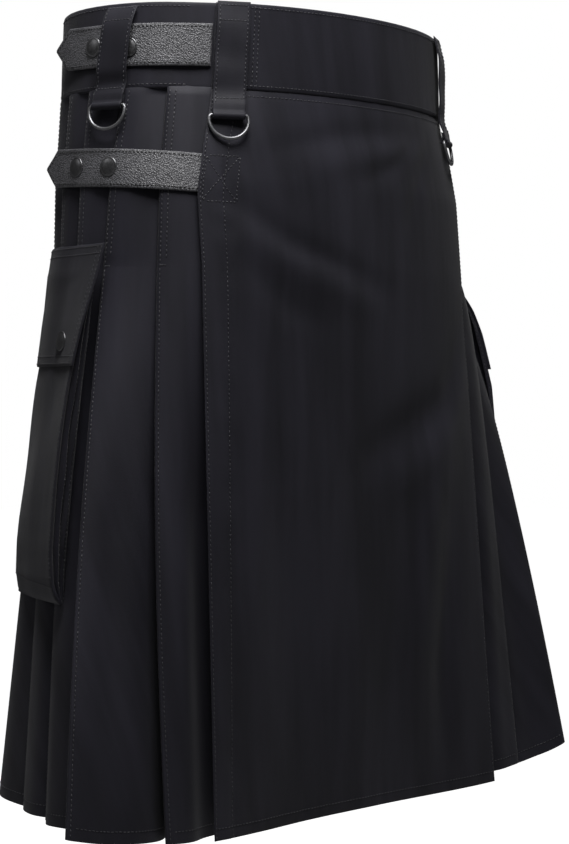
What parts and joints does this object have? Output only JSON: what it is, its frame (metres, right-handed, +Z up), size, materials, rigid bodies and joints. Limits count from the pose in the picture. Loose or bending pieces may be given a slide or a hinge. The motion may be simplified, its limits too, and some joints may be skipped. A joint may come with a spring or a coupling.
{
  "type": "utility kilt",
  "caption": "Knee-length utility kilt in dark twill with a flat wrap-over front apron, pleated sides and back, snap-fastened leather straps, ringed belt loops and flapped side pockets.",
  "frame": {"origin": "centre of the waistband's opening at mid-height of the band, where the garment is held round a waist", "axes": "+Z up through the waist opening, -Y the way the wearer faces, +X the wearer's left"},
  "size_m": [0.5601, 0.2843, 0.6063],
  "materials": {
    "cotton_twill": "near-black cotton twill, matt with a slight sheen on folds",
    "grained_leather": "dark grey pebble-grained leather, semi-matt",
    "snap_metal": "gunmetal snap caps, satin",
    "ring_metal": "gunmetal wire rings, polished"
  },
  "bodies": {
    "kilt": {"apron": "cotton_twill", "under_apron": "cotton_twill", "waistband": "cotton_twill", "pleats_right": "cotton_twill", "pleats_left": "cotton_twill", "pocket_right": "cotton_twill", "pocket_left": "cotton_twill", "pocket_flap_right": "cotton_twill", "pocket_flap_left": "cotton_twill", "waist_strap": "grained_leather", "hip_strap": "grained_leather", "belt_loop_front_right": "cotton_twill", "belt_loop_side_right": "cotton_twill", "belt_loop_front_left": "cotton_twill", "belt_loop_side_left": "cotton_twill", "belt_loop_back": "cotton_twill", "waist_strap_cap_rear": "snap_metal", "waist_strap_cap_front": "snap_metal", "hip_strap_cap_rear": "snap_metal", "hip_strap_cap_front": "snap_metal", "flap_cap_right_front": "snap_metal", "flap_cap_right_rear": "snap_metal", "flap_cap_left_front": "snap_metal", "flap_cap_left_rear": "snap_metal"},
    "d_ring_front_right_body": {"d_ring_front_right": "ring_metal"},
    "d_ring_front_left_body": {"d_ring_front_left": "ring_metal"},
    "d_ring_side_right_body": {"d_ring_side_right": "ring_metal"},
    "d_ring_side_left_body": {"d_ring_side_left": "ring_metal"}
  },
  "joints": [
    {"name": "d_ring_front_right_swing", "type": "hinge", "parent": "kilt", "child": "d_ring_front_right_body", "pos_m": [-0.12682, -0.09252, -0.052], "axis": [-0.8672, 0.4979, 0], "range_deg": [0, 120]},
    {"name": "d_ring_front_left_swing", "type": "hinge", "parent": "kilt", "child": "d_ring_front_left_body", "pos_m": [0.12682, -0.09252, -0.052], "axis": [-0.8672, -0.4979, 0], "range_deg": [0, 120]},
    {"name": "d_ring_side_right_swing", "type": "hinge", "parent": "kilt", "child": "d_ring_side_right_body", "pos_m": [-0.1825, -0.02268, -0.044], "axis": [-0.29, 0.957, 0], "range_deg": [0, 120]},
    {"name": "d_ring_side_left_swing", "type": "hinge", "parent": "kilt", "child": "d_ring_side_left_body", "pos_m": [0.1825, -0.02268, -0.044], "axis": [-0.29, -0.957, 0], "range_deg": [0, 120]}
  ]
}
